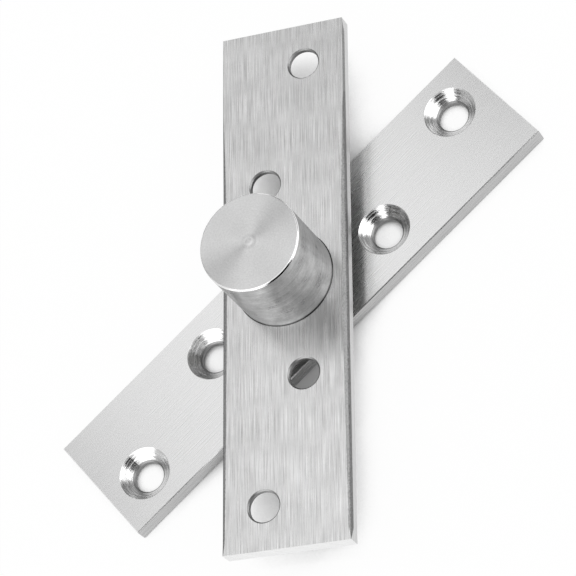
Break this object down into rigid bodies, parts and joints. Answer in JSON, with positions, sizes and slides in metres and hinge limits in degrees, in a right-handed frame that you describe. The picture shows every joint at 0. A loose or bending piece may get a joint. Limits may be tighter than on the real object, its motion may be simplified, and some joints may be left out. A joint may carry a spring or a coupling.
{
  "type": "pivot hinge",
  "caption": "Stainless pivot hinge for a swinging door: a floor plate and a door plate cross on a riveted pin, with a thrust ball bearing closed in a round barrel.",
  "frame": {"origin": "on the pivot axis, at the underside of the floor plate", "axes": "+Z is the pivot axis, up into the door. +Y runs along the floor plate. The door plate is turned 50 degrees from it, counter-clockwise seen from above"},
  "size_m": [0.1174, 0.128, 0.0337],
  "materials": {
    "brushed_plate": "fine lengthwise brushing, bright",
    "ground_plate": "coarse lengthwise belt grinding, ground bevels on the long edges",
    "turned_barrel": "turned: faced top with concentric tool marks, satin side",
    "turned_steel": "turned",
    "washer_plastic": "natural moulded plastic",
    "bush_bronze": "turned bronze",
    "race_steel": "hardened and ground",
    "cage_brass": "stamped brass",
    "ball_steel": "polished"
  },
  "bodies": {
    "floor_side": {"floor_plate": "brushed_plate", "spacer_ring": "turned_steel", "glide_washer": "washer_plastic", "pivot_pin": "turned_steel", "lower_race": "race_steel"},
    "door_side": {"door_plate": "ground_plate", "barrel": "turned_barrel", "journal_bush": "bush_bronze", "upper_race": "race_steel"},
    "ball_set": {"ball_cage": "cage_brass", "ball_01": "ball_steel", "ball_02": "ball_steel", "ball_03": "ball_steel", "ball_04": "ball_steel", "ball_05": "ball_steel", "ball_06": "ball_steel", "ball_07": "ball_steel", "ball_08": "ball_steel", "ball_09": "ball_steel", "ball_10": "ball_steel", "ball_11": "ball_steel", "ball_12": "ball_steel"}
  },
  "joints": [
    {"name": "door_swing", "type": "hinge", "parent": "floor_side", "child": "door_side", "pos_m": [0, 0, 0.0126], "axis": [0, 0, 1], "continuous": true},
    {"name": "ball_orbit", "type": "hinge", "parent": "floor_side", "child": "ball_set", "pos_m": [0, 0, 0.0281], "axis": [0, 0, 1], "continuous": true}
  ],
  "couplings": [
    {"joint": "ball_orbit", "follows": "door_swing", "ratio": 0.5}
  ]
}
